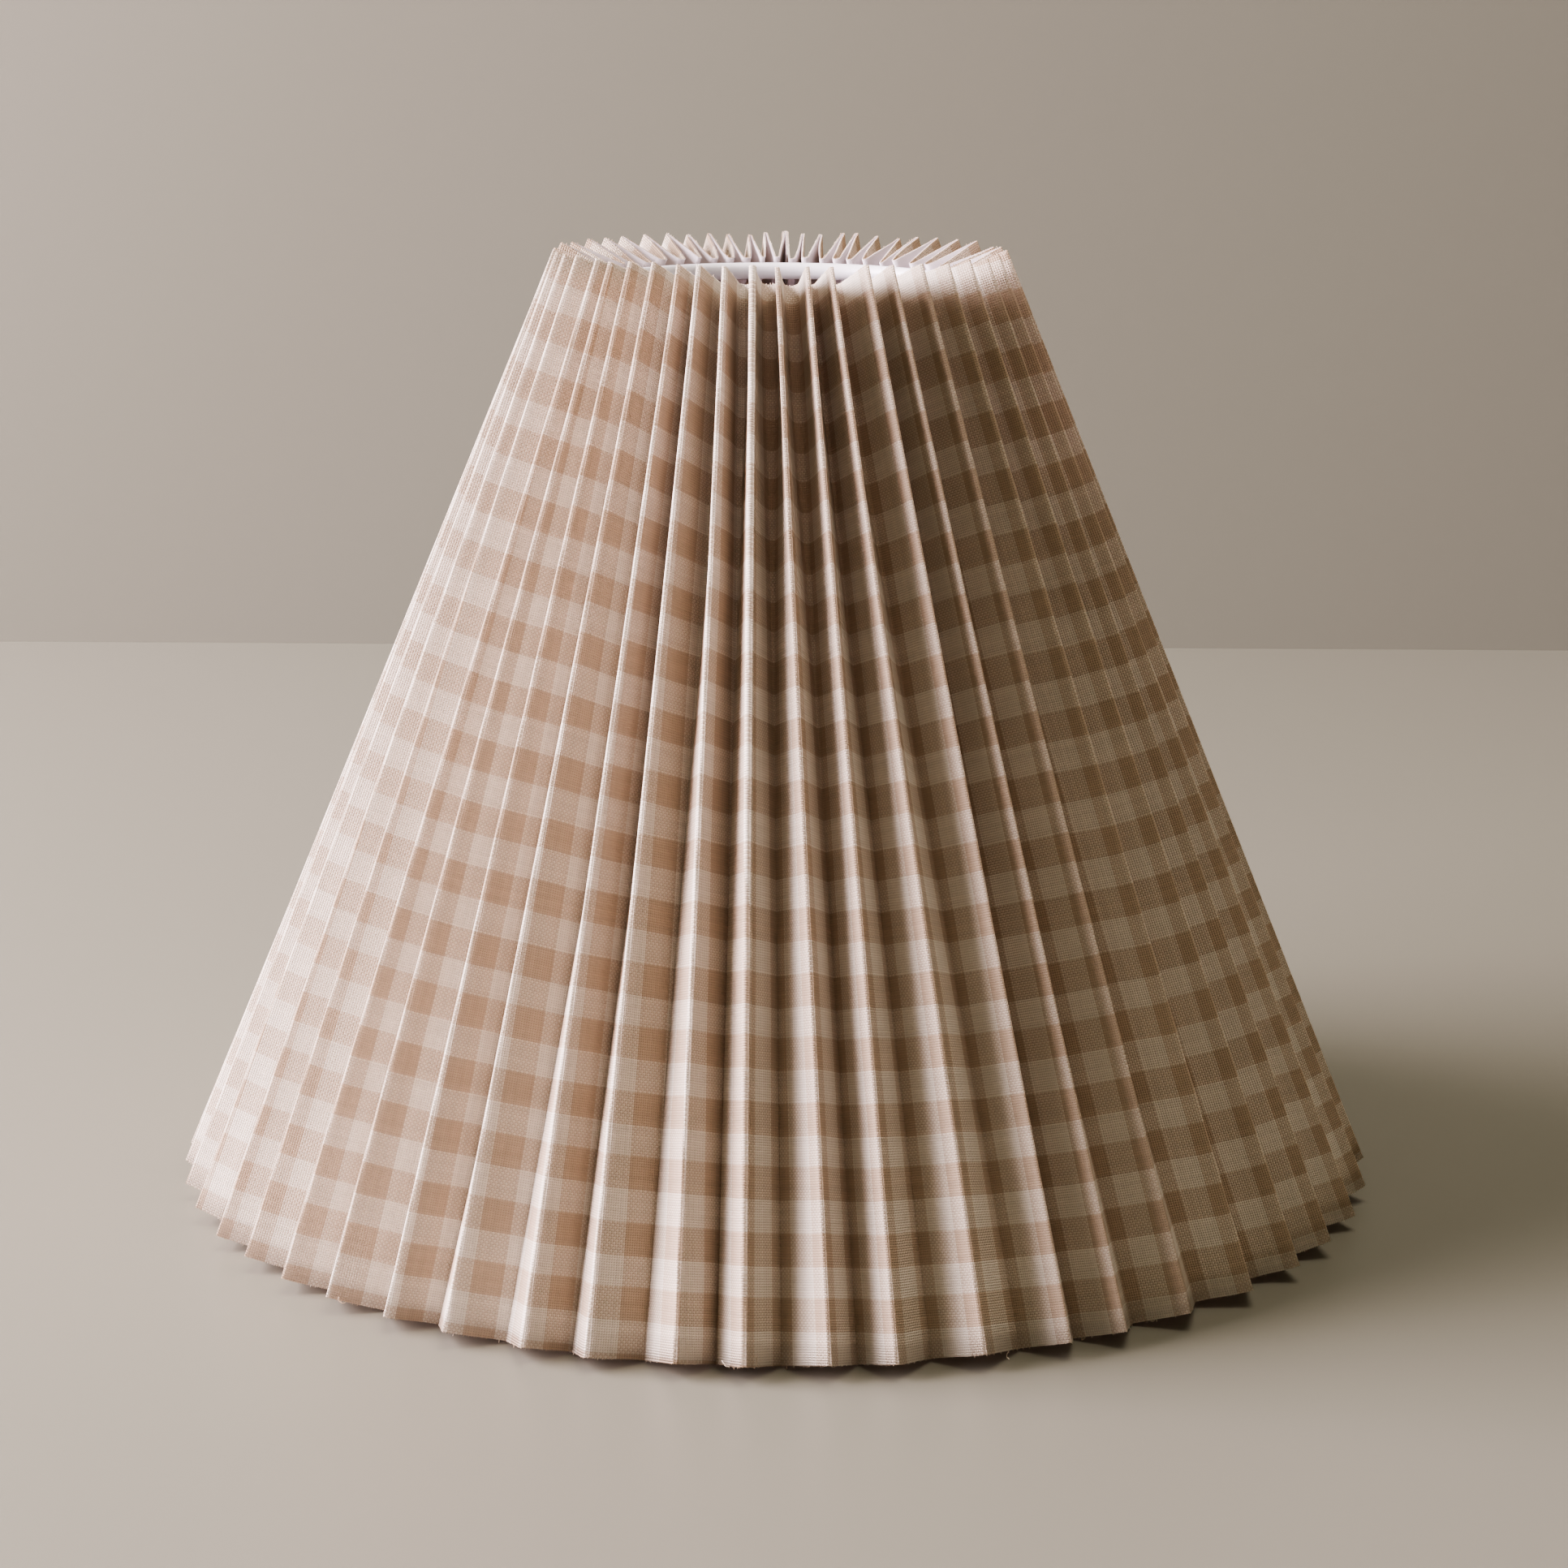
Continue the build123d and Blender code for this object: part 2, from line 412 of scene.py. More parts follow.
@dataclass(frozen=True)
class StyreneFilm:
    """White styrene film, cast smooth and bonded to the cotton's back.

    It is clean and faintly cool beside the cotton, with a satin gloss and soft, milky shadows.
    """

    white: str = "#F4EDF4"
    roughness: float = 0.38
    roll: float = 0.08
    roll_mm: float = 16.7
    passing: float = 0.45
    grain_mm: float = 1.11
    grain_relief_mm: float = 0.02

    def material(self) -> bpy.types.Material:
        """Builds the film, with slight rolls in its gloss and the weave just telling through.

        Returns:
            The material.
        """
        material = fresh_material("cast_styrene_film")
        tree = material.node_tree
        cloth = add_node(tree, "ShaderNodeUVMap", uv_map="cloth").outputs[0]
        haze = add_node(
            tree, "ShaderNodeTexNoise", {"Vector": cloth, "Scale": repeats(self.roll_mm), "Detail": 3.0}
        ).outputs[0]
        gloss = add_node(
            tree,
            "ShaderNodeMapRange",
            {"Value": haze, "To Min": self.roughness - self.roll, "To Max": self.roughness + self.roll},
        ).outputs[0]
        tint = add_node(
            tree, "ShaderNodeMapRange", {"Value": haze, "To Min": 0.97, "To Max": 1.02}
        ).outputs[0]
        colour = add_node(
            tree, "ShaderNodeVectorMath", {0: linear(self.white)[:3], 1: tint}, operation="MULTIPLY"
        ).outputs[0]
        # The bond shows the cloth's relief faintly, drawn at 1.1 mm so that it can be seen at all.
        grain = add_node(
            tree, "ShaderNodeTexNoise", {"Vector": cloth, "Scale": repeats(self.grain_mm), "Detail": 1.0}
        ).outputs[0]
        bump = add_node(
            tree,
            "ShaderNodeBump",
            {"Strength": 0.4, "Distance": self.grain_relief_mm * MM, "Height": grain},
        ).outputs[0]
        surface = add_node(
            tree,
            "ShaderNodeBsdfPrincipled",
            {"Base Color": colour, "Roughness": gloss, "IOR": 1.55, "Normal": bump},
        )
        glowing_sheet(tree, surface.outputs[0], colour, self.passing, bump)
        return material


@dataclass(frozen=True)
class PowderCoat:
    """White polyester powder coat, baked on steel wire and sheet.

    It gives an even, slightly soft white with a semi-gloss that ripples like orange peel.
    """

    white: str = "#EEEDF1"
    roughness: float = 0.34
    peel_mm: float = 1.4
    peel_relief_mm: float = 0.03
    thin_mm: float = 14.3

    def material(self) -> bpy.types.Material:
        """Builds the coat, with its orange peel and a faint greying where it is thin.

        Returns:
            The material.
        """
        material = fresh_material("white_powder_coat")
        tree = material.node_tree
        place = add_node(tree, "ShaderNodeTexCoord").outputs["Object"]
        peel = add_node(
            tree, "ShaderNodeTexNoise", {"Vector": place, "Scale": repeats(self.peel_mm), "Detail": 2.0}
        ).outputs[0]
        cloud = add_node(
            tree, "ShaderNodeTexNoise", {"Vector": place, "Scale": repeats(self.thin_mm), "Detail": 2.0}
        ).outputs[0]
        tone = add_node(
            tree, "ShaderNodeMapRange", {"Value": cloud, "To Min": 0.95, "To Max": 1.02}
        ).outputs[0]
        colour = add_node(
            tree, "ShaderNodeVectorMath", {0: linear(self.white)[:3], 1: tone}, operation="MULTIPLY"
        ).outputs[0]
        gloss = add_node(
            tree,
            "ShaderNodeMapRange",
            {"Value": peel, "To Min": self.roughness - 0.05, "To Max": self.roughness + 0.08},
        ).outputs[0]
        bump = add_node(
            tree, "ShaderNodeBump", {"Strength": 0.5, "Distance": self.peel_relief_mm * MM, "Height": peel}
        ).outputs[0]
        surface = add_node(
            tree,
            "ShaderNodeBsdfPrincipled",
            {"Base Color": colour, "Roughness": gloss, "IOR": 1.5, "Normal": bump},
        )
        add_node(tree, "ShaderNodeOutputMaterial", {"Surface": surface.outputs[0]})
        return material


@dataclass(frozen=True)
class PaintedBoard:
    """The studio's boards, rolled with a greige eggshell emulsion.

    It gives a broad, dim sheen at low angles and hides the roller's nap elsewhere.
    """

    paint: str = "#828176"
    roughness: float = 0.42
    specular: float = 0.4
    nap_mm: float = 2.0
    nap_relief_mm: float = 0.05

    def material(self) -> bpy.types.Material:
        """Builds the paint, with a faint roller nap.

        Returns:
            The material.
        """
        material = fresh_material("painted_board")
        tree = material.node_tree
        place = add_node(tree, "ShaderNodeTexCoord").outputs["Object"]
        nap = add_node(
            tree, "ShaderNodeTexNoise", {"Vector": place, "Scale": repeats(self.nap_mm), "Detail": 2.0}
        ).outputs[0]
        bump = add_node(
            tree, "ShaderNodeBump", {"Strength": 0.15, "Distance": self.nap_relief_mm * MM, "Height": nap}
        ).outputs[0]
        surface = add_node(
            tree,
            "ShaderNodeBsdfPrincipled",
            {
                "Base Color": linear(self.paint),
                "Roughness": self.roughness,
                "Specular IOR Level": self.specular,
                "Normal": bump,
            },
        )
        # Seen from behind, the board isn't there, so that it hides nothing from the other side.
        away = add_node(tree, "ShaderNodeBsdfTransparent")
        behind = add_node(tree, "ShaderNodeNewGeometry").outputs["Backfacing"]
        shown = add_node(
            tree, "ShaderNodeMixShader", {0: behind, 1: surface.outputs[0], 2: away.outputs[0]}
        )
        add_node(tree, "ShaderNodeOutputMaterial", {"Surface": shown.outputs[0]})
        return material


# ---------------------------------------------------------------- the folded sheet


class Fold(Enum):
    """Which way a fold points, as the sign of its height over the middle of the sheet."""

    OUTER = 1
    INNER = -1


@dataclass
class FoldPlan:
    """Where each fold of the shade runs, from the top edge down to the hem."""

    low: Sequence[float]
    high: Sequence[float]
    top_radius: float = 55.0 * MM
    strip_width: float = 247.2 * MM
    panel_width: float = 14.0 * MM
    # Both layers are a little thinner than their solids, so that lapped folds stay narrow.
    fabric: float = 0.26 * MM
    film: float = 0.18 * MM
    pleats: int = 50
    seed: int = 50
    # How far the folds stray from even spacing, in degrees: a steady part, then a sine and a cosine
    # once round the shade and twice round it. The pleats crowd at the front and the back.
    top_stray: tuple[float, ...] = (-2.4, 6.4, -3.0, -6.7, -1.4)
    hem_stray: tuple[float, ...] = (1.5, -1.5, -4.0, -1.5, 0.0)
    stray_by_chance: float = 0.55
    lean_by_chance: float = 0.10
    end_by_chance: float = 0.3 * MM
    # However wide a pleat is spread, its panels stay folded by this share of their width.
    least_fold: float = 0.3
    hem_radius: float = field(init=False)
    rise: float = field(init=False)
    slope: float = field(init=False)
    top_height: float = field(init=False)

    def __post_init__(self) -> None:
        """Fits the cone to the CAD box and draws the pleats' chance differences."""
        half_width = (self.high[0] - self.low[0]) / 2
        rough_slope = (half_width - self.top_radius) / (self.high[2] - self.low[2])
        self.hem_radius = half_width - self.fabric * math.cos(math.atan(rough_slope))
        self.rise = math.sqrt(self.strip_width**2 - (self.hem_radius - self.top_radius) ** 2)
        self.slope = (self.hem_radius - self.top_radius) / self.rise
        # At the lapped seams the top corner stands a laminate and a cover above the bond line.
        proud = 2 * self.fabric + self.film
        self.top_height = self.high[2] - proud * math.sin(math.atan(self.slope))
        chance = np.random.default_rng(self.seed)
        self.turn_chance = chance.normal(0, self.stray_by_chance, (2, self.pleats))
        self.lean_chance = chance.normal(0, self.lean_by_chance, (2, self.pleats))
        self.end_chance = chance.normal(0, self.end_by_chance, (2, 2 * self.pleats))

    def outer_turn(self, fold: int, end: int) -> float:
        """The turn of an outer fold at one end.

        Args:
            fold: its even number.
            end: 0 for the top edge and 1 for the hem.

        Returns:
            Its turn in degrees, over 360 where the number goes past the first seam again.
        """
        pleat = fold // 2
        lap = 2 * math.pi * pleat / self.pleats
        stray = (self.top_stray, self.hem_stray)[end]
        waves = (1, math.sin(lap), math.cos(lap), math.sin(2 * lap), math.cos(2 * lap))
        bend = sum(size * wave for size, wave in zip(stray, waves))
        return 360 * pleat / self.pleats + bend + self.turn_chance[end, pleat % self.pleats]

    def setback(self, radius: float, half_gap: float) -> float:
        """How far an inner fold lies inside the outer ones, so that its panels keep their width.

        Args:
            radius: the outer folds' radius at this end.
            half_gap: half the turn from one outer fold to the next, in degrees.

        Returns:
            The level distance.
        """
        bow = 1 - math.cos(math.radians(half_gap))
        square = 1 + self.slope**2
        line = 2 * radius * bow
        rest = max(self.panel_width**2 - line * radius, (self.least_fold * self.panel_width) ** 2)
        return (line + math.sqrt(line**2 + 4 * square * rest)) / (2 * square)

    def corner(self, fold: int, end: int) -> np.ndarray:
        """The end of a fold, on the bond line between cotton and film.

        Args:
            fold: its number.
            end: 0 for the top edge and 1 for the hem.

        Returns:
            The point.
        """
        radius = (self.top_radius, self.hem_radius)[end]
        height = (self.top_height, self.top_height - self.rise)[end]
        if fold % 2 == 0:
            turn = self.outer_turn(fold, end)
        else:
            before, after = self.outer_turn(fold - 1, end), self.outer_turn(fold + 1, end)
            half_gap = (after - before) / 2
            lean = self.lean_chance[end, fold // 2 % self.pleats]
            turn = before + half_gap * (1 + lean)
            # The rings keep the inner folds from sinking deeper than evenly spaced pleats would.
            inward = min(self.setback(radius, half_gap), self.setback(radius, 180 / self.pleats))
            radius -= inward
            height -= inward * self.slope
        turn = math.radians(turn)
        point = np.array([radius * math.sin(turn), -radius * math.cos(turn), height])
        point[:2] += (np.array(self.low[:2]) + np.array(self.high[:2])) / 2
        return point

    def line(self, fold: int, shares: np.ndarray) -> np.ndarray:
        """Points down a fold.

        Args:
            fold: its number.
            shares: how far down each point is, from 0 at the top edge to 1 at the hem.

        Returns:
            One point a row.
        """
        top, hem = self.corner(fold, 0), self.corner(fold, 1)
        down = (hem - top) / np.linalg.norm(hem - top)
        shift = self.end_chance[:, fold % (2 * self.pleats)]
        top = top + down * shift[0]
        hem = hem + down * (abs(shift[1]) * (-1 if fold % 2 else 1))
        return top + (hem - top) * shares[:, None]


@dataclass
class Section:
    """The bond line of a folded strip: a grid of points, with its normals and cloth coordinates."""

    points: np.ndarray
    normals: np.ndarray
    along: np.ndarray
    down: np.ndarray


@dataclass
class Caps:
    """The rounded caps of a strip's folds: arrays with a row for each fold and a column for each level.

    A cap's angles are measured from its crown, towards the next fold. Its panels leave it at -left
    and at right.
    """

    centre: np.ndarray
    side: np.ndarray
    outward: np.ndarray
    sign: np.ndarray
    radius: np.ndarray
    left: np.ndarray
    right: np.ndarray

    def point(self, number: int, angle: np.ndarray) -> np.ndarray:
        """Points down one fold's cap.

        Args:
            number: the fold's row.
            angle: how far round the cap, in radians, at each level.

        Returns:
            One point a row.
        """
        rise = self.sign[number] * np.cos(angle)[:, None] * self.outward[number]
        lean = np.sin(angle)[:, None] * self.side[number]
        return self.centre[number] + self.radius[number][:, None] * (lean + rise)

    def heading(self, number: int, angle: np.ndarray) -> np.ndarray:
        """Which way the sheet runs over a cap, at the same places as point."""
        over = np.cos(angle)[:, None] * self.side[number]
        return over - (self.sign[number] * np.sin(angle))[:, None] * self.outward[number]

    def panel(self, number: int, share: float) -> np.ndarray:
        """Points down the panel after one fold, which bends gently from cap to cap.

        Args:
            number: the fold's row.
            share: how far across the panel, from 0 to 1.

        Returns:
            One point a row.
        """
        arriving = -self.left[number + 1]
        start, end = self.point(number, self.right[number]), self.point(number + 1, arriving)
        leave, arrive = self.heading(number, self.right[number]), self.heading(number + 1, arriving)
        length = np.linalg.norm(end - start, axis=-1, keepdims=True)
        return (
            (2 * share**3 - 3 * share**2 + 1) * start
            + (share**3 - 2 * share**2 + share) * length * leave
            + (3 * share**2 - 2 * share**3) * end
            + (share**3 - share**2) * length * arrive
        )


@dataclass
class PleatedStrip:
    """One strip of laminate, 25 pleats long, with its cotton cover and film liner as two pieces."""

    name: str
    plan: FoldPlan
    first_fold: int
    last_fold: int
    beige_at: float
    square_at: float
    stripe_pitch: float
    row_skew: float = 0.017
    column_skew: float = 0.0
    levels: int = 41
    cap_points: int = 7
    panel_points: int = 15
    nose_radius: float = 0.26 * MM
    seam_radius: float = 0.13 * MM
    # Every fold has its own width, and is pressed a few degrees past straight.
    nose_widths: tuple[float, float] = (0.85, 1.15)
    pressed: tuple[float, float] = (0.5, 3.5)
    # Inner folds open and widen towards the top edge, most of all beside the front seam.
    inner_pressed: tuple[float, float] = (-7.0, 3.0)
    inner_widths: tuple[float, float] = (1.5, 5.0)
    gape: float = 3.5
    gape_folds: float = 9.0
    opening: float = 0.35
    eased_at_hem: float = 0.4
    # The most that two neighbouring caps may take of the distance between their centres.
    most_touching: float = 0.9
    lap_past_fold: float = 1.4 * MM
    lap_start: float = 0.15
    lap_step: float = 0.10
    level_lap: float = 0.3
    # The glue between cotton and film.
    bond: float = 0.01 * MM
    # Hollows in the panels: how many of each kind there are from top to hem, and how deep.
    hollows: tuple[tuple[float, float], ...] = ((1.3, 0.16 * MM), (2.9, 0.10 * MM), (6.1, 0.05 * MM))
    section: Section = field(init=False)

    def __post_init__(self) -> None:
        """Works out the strip's bond line."""
        self.section = self.fold()

    def sharpness(self, folds: np.ndarray, shares: np.ndarray) -> tuple[np.ndarray, np.ndarray]:
        """How tight each fold is.

        Args:
            folds: the folds' numbers.
            shares: how far down each level is.

        Returns:
            The radius of each fold at each level, and how many degrees it is pressed past straight.
        """
        chance = np.random.default_rng(self.plan.seed + 7)
        count = 2 * self.plan.pleats
        widths = chance.uniform(*self.nose_widths, count)
        pressed = chance.uniform(*self.pressed, count)
        open_inner = chance.uniform(*self.inner_pressed, count)
        wide_inner = chance.uniform(*self.inner_widths, count)
        from_seam = np.minimum(np.arange(count), count - np.arange(count))
        wide_inner += self.gape * np.exp(-((from_seam / self.gape_folds) ** 2))
        number = folds % count
        inner = (folds % 2 == 1)[:, None]
        toward_hem = shares[None, :]
        radius = self.nose_radius * widths[number][:, None] * np.ones_like(toward_hem)
        # Two laminates share each seam's fold, so the one beneath is pressed sharp.
        seam = (folds % self.plan.pleats == 0)[:, None]
        radius = np.where(seam, self.seam_radius, radius)
        # Inner folds are open and rounded at the top edge, and closed tight lower down.
        opening = np.exp(-((toward_hem / self.opening) ** 2))
        radius = np.where(inner, radius * (1 + (wide_inner[number][:, None] - 1) * opening), radius)
        press = pressed[number][:, None] * (1 - self.eased_at_hem * toward_hem)
        press_inner = open_inner[number][:, None] * opening + pressed[number][:, None] * (1 - opening)
        return radius, np.where(inner, press_inner, press)

    def caps(self, folds: np.ndarray, shares: np.ndarray) -> Caps:
        """Puts a rounded cap on every fold and finds how steeply the panels leave it.

        Args:
            folds: the folds' numbers.
            shares: how far down each level is.

        Returns:
            The caps.
        """
        lines = np.stack([self.plan.line(fold, shares) for fold in folds])
        sign = np.where(folds % 2 == 0, Fold.OUTER.value, Fold.INNER.value)[:, None]
        turn = np.arctan2(lines[..., 0], -lines[..., 1])
        side = np.stack([np.cos(turn), np.sin(turn), np.zeros_like(turn)], axis=-1)
        down = lines[:, -1:] - lines[:, :1]
        outward = np.cross(np.broadcast_to(down, lines.shape), side)
        outward /= np.linalg.norm(outward, axis=-1, keepdims=True)
        radius, press = self.sharpness(folds, shares)
        centre = lines - (sign * radius)[..., None] * outward

        # The straight line that touches both caps gives each panel's steepness.
        reach = centre[1:] - centre[:-1]
        mid_side = side[1:] + side[:-1]
        mid_side /= np.linalg.norm(mid_side, axis=-1, keepdims=True)
        mid_out = outward[1:] + outward[:-1]
        mid_out /= np.linalg.norm(mid_out, axis=-1, keepdims=True)
        over = np.sum(reach * mid_side, axis=-1)
        drop = -sign[:-1] * np.sum(reach * mid_out, axis=-1)
        touching = np.clip((radius[1:] + radius[:-1]) / np.hypot(over, drop), 0, self.most_touching)
        steep = np.arctan2(drop, over) + np.arcsin(touching)
        step = np.unwrap(turn, axis=0)
        half_turn = (step[1:] - step[:-1]) / 2
        right = steep + sign[:-1] * half_turn + np.radians(press[:-1])
        left = steep + sign[1:] * half_turn + np.radians(press[1:])
        right = np.concatenate([right, left[-1:]])
        left = np.concatenate([right[:1], left])
        return Caps(centre, side, outward, sign, radius, left, right)

    def fold(self) -> Section:
        """Folds the strip: a rounded cap on every fold, joined by gently curved panels.

        Returns:
            The bond line, cut to the strip's own length.
        """
        folds = np.arange(self.first_fold - 1, self.last_fold + 2)
        shares = np.linspace(0, 1, self.levels)
        caps = self.caps(folds, shares)
        width = self.plan.panel_width
        across_cap = np.linspace(-1, 1, self.cap_points)
        # Panel points are closer together near the folds, where the sheet bends most.
        across_panel = (1 - np.cos(np.linspace(0, math.pi, self.panel_points + 2)[1:-1])) / 2
        columns, places = [], []
        for number, fold in enumerate(folds):
            for share in across_cap:
                angle = share * (caps.left[number] if share < 0 else caps.right[number])
                columns.append(caps.point(number, angle))
                places.append(fold * width + caps.radius[number] * angle)
            if number == len(folds) - 1:
                break
            from_place = places[-1]
            to_place = folds[number + 1] * width - caps.radius[number + 1] * caps.left[number + 1]
            for share in across_panel:
                columns.append(caps.panel(number, share))
                places.append(from_place + (to_place - from_place) * share)
        points = np.stack(columns, axis=1)
        along = np.stack(places, axis=1)

        half_cap = (caps.radius * (caps.left + caps.right) / 2)[-2].mean()
        mean_place = along.mean(axis=0)
        cut_from = (self.first_fold - 1 + self.lap_start) * width
        cut_to = self.last_fold * width + half_cap + self.lap_past_fold
        kept = (mean_place >= cut_from) & (mean_place <= cut_to)
        points, along = points[:, kept], along[:, kept]
        points += self.waves(along, shares)[..., None] * self.normals_of(points)
        fall = np.broadcast_to(shares[:, None] * self.plan.strip_width, along.shape)
        return Section(points, self.normals_of(points), along, fall)

    def waves(self, along: np.ndarray, shares: np.ndarray) -> np.ndarray:
        """Slight hollows and swells that a pressed panel keeps, none of them on a fold.

        Args:
            along: how far along the strip each point is.
            shares: how far down each level is.

        Returns:
            How far out each point is pushed.
        """
        chance = np.random.default_rng(self.plan.seed + 13 + self.first_fold)
        panel = np.floor(along / self.plan.panel_width).astype(int)
        panel -= panel.min()
        count = panel.max() + 1
        inside = np.sin(math.pi * along / self.plan.panel_width) ** 2
        push = np.zeros_like(along)
        for times, depth in self.hollows:
            phase = chance.uniform(0, 2 * math.pi, count)[panel]
            strength = chance.normal(0, depth, count)[panel]
            push += strength * np.sin(2 * math.pi * times * shares[:, None] + phase)
        return push * inside

    @staticmethod
    def normals_of(points: np.ndarray) -> np.ndarray:
        """The outward normals of a grid of points, whose rows run down and columns run along."""
        down = np.gradient(points, axis=0)
        along = np.gradient(points, axis=1)
        normals = np.cross(down, along)
        return normals / np.linalg.norm(normals, axis=-1, keepdims=True)

    def lift(self) -> np.ndarray:
        """How far each point stands off its place, where this strip laps over the other one."""
        place = self.section.along / self.plan.panel_width - (self.last_fold - 1)
        level = self.level_lap * self.lap_step
        share = np.clip((place - level) / (self.lap_step - level), 0, 1)
        return (self.plan.fabric + self.plan.film) * share * share * (3 - 2 * share)

    def layer(self, piece_name: str, inside: float, outside: float) -> bpy.types.Object:
        """Makes one layer of the laminate as a closed sheet.

        Args:
            piece_name: the piece's name.
            inside: how far its inner face is off the bond line, outwards.
            outside: how far its outer face is.

        Returns:
            The piece, with its cloth coordinates.
        """
        section = self.section
        lift = self.lift()
        offsets = [(lift + offset)[..., None] * section.normals for offset in (outside, inside)]
        points = np.concatenate([(section.points + offset).reshape(-1, 3) for offset in offsets])
        points[:, 2] = np.maximum(points[:, 2], self.plan.low[2])
        number = np.arange(section.along.size).reshape(section.along.shape)
        back = number + number.size
        outer = np.stack([number[:-1, :-1], number[1:, :-1], number[1:, 1:], number[:-1, 1:]], axis=-1)
        inner = np.stack([back[:-1, :-1], back[:-1, 1:], back[1:, 1:], back[1:, :-1]], axis=-1)
        sheets = [outer.reshape(-1, 4), inner.reshape(-1, 4)]
        top = np.stack([back[0, :-1], number[0, :-1], number[0, 1:], back[0, 1:]], axis=-1)
        hem = np.stack([number[-1, :-1], back[-1, :-1], back[-1, 1:], number[-1, 1:]], axis=-1)
        start = np.stack([back[:-1, 0], back[1:, 0], number[1:, 0], number[:-1, 0]], axis=-1)
        end = np.stack([number[:-1, -1], number[1:, -1], back[1:, -1], back[:-1, -1]], axis=-1)
        faces = np.concatenate([*sheets, top, hem, start, end])
        piece = mesh_object(piece_name, points, faces, flat_from=2 * len(sheets[0]))
        cloth = self.cloth_place(section.along, section.down).reshape(-1, 2)
        mark_cloth(piece, np.concatenate([cloth, cloth]))
        return piece

    def cloth_place(self, along: np.ndarray, down: np.ndarray) -> np.ndarray:
        """Finds a place on the flat cloth, which was eased along and bonded a little askew.

        Args:
            along: how far along the folded strip.
            down: how far down from the top edge.

        Returns:
            Across the warp and down it, in the last axis.
        """
        width = self.plan.panel_width
        check = GinghamCotton.check_mm * MM
        lean = self.column_skew * (down - self.plan.strip_width / 2)
        across = (along - self.beige_at * width - lean) * (2 * check / self.stripe_pitch) + check
        return np.stack([across, down - self.row_skew * (along - self.square_at * width)], axis=-1)

    def build(self, cotton: bpy.types.Material, film: bpy.types.Material) -> list[bpy.types.Object]:
        """Makes the cover and the liner, dresses them and stands them in for the plain solids.

        Args:
            cotton: the cover's finish.
            film: the liner's finish.

        Returns:
            The two pieces.
        """
        cover = self.layer(f"gingham_cover_{self.name}", 0.0, self.plan.fabric)
        liner = self.layer(f"film_liner_{self.name}", -self.plan.film, -self.bond)
        for piece, material, slot, node in (
            (cover, cotton, "gingham_cotton", f"cover_strip_{self.name}"),
            (liner, film, "white_film", f"liner_strip_{self.name}"),
        ):
            piece.data.materials.append(material)
            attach(piece, "root")
            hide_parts(node)
        return [cover, liner]


